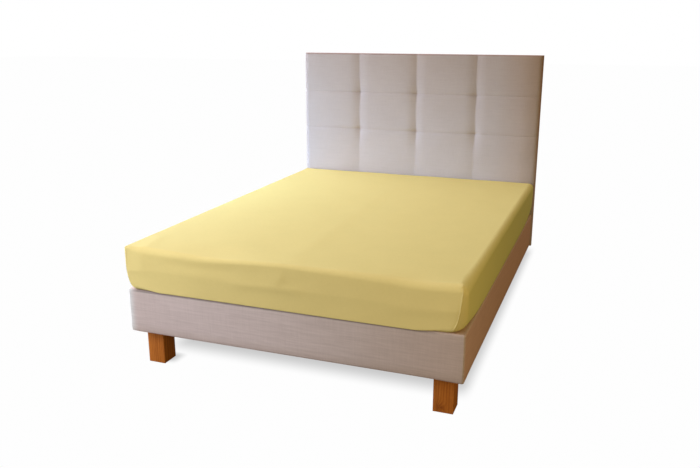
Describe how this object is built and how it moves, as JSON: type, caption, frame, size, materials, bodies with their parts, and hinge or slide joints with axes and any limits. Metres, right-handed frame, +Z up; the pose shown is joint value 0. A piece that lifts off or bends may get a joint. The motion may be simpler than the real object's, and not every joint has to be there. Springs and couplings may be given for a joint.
{
  "type": "fitted sheet on a mattress and upholstered bed",
  "caption": "Fitted sheet drawn smooth over a mattress with its hem tucked under, on an upholstered base with wooden legs and a tufted headboard.",
  "frame": {"origin": "on the floor, under the middle of the whole bed", "axes": "+Z up, +Y from the foot end towards the headboard, +X to the right as seen from the foot end"},
  "size_m": [1.52, 2.0604, 1.32],
  "materials": {
    "sheet_cotton": "plain matt cotton, pale yellow",
    "mattress_ticking": "plain off-white ticking",
    "upholstery": "greige linen weave with fine level slubs",
    "leg_wood": "satin orange-brown solid wood"
  },
  "bodies": {
    "root": {"sheet": "sheet_cotton", "mattress": "mattress_ticking", "base": "upholstery", "headboard": "upholstery", "leg_foot_left": "leg_wood", "leg_foot_right": "leg_wood", "leg_head_left": "leg_wood", "leg_head_right": "leg_wood"}
  },
  "joints": []
}
